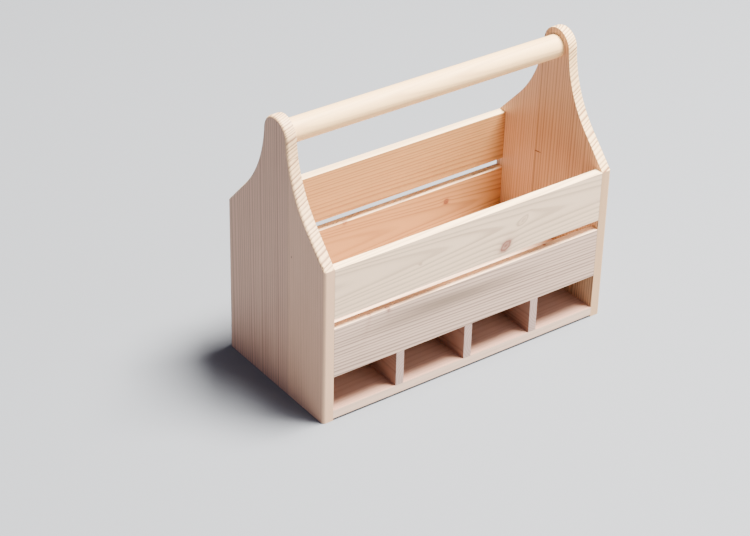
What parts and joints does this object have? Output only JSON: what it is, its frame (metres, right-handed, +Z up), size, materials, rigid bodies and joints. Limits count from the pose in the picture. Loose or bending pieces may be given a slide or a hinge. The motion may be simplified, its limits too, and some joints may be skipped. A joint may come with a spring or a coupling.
{
  "type": "open tool tote",
  "caption": "Open wooden tool tote with shaped ends, a round handle, slotted sides and a row of small open compartments in the base.",
  "frame": {"origin": "on the ground, under the middle of the tote", "axes": "+X along the handle to the right, -Y the open front of the compartments, +Z up"},
  "size_m": [0.555, 0.262, 0.474],
  "materials": {
    "end_boards": "sanded bare softwood",
    "side_boards": "sanded bare softwood",
    "base_boards": "sanded bare softwood",
    "handle": "sanded bare wood",
    "dowel_pins": "bare hardwood"
  },
  "bodies": {
    "root": {"left_end_wide_board": "end_boards", "left_end_narrow_board": "end_boards", "right_end_wide_board": "end_boards", "right_end_narrow_board": "end_boards", "handle": "handle", "front_upper_board": "side_boards", "front_lower_board": "side_boards", "back_upper_board": "side_boards", "back_lower_board": "side_boards", "compartment_rear_wall": "side_boards", "main_floor": "base_boards", "base_board": "base_boards", "divider_1": "base_boards", "divider_2": "base_boards", "divider_3": "base_boards", "left_dowel_pins": "dowel_pins", "right_dowel_pins": "dowel_pins"}
  },
  "joints": []
}
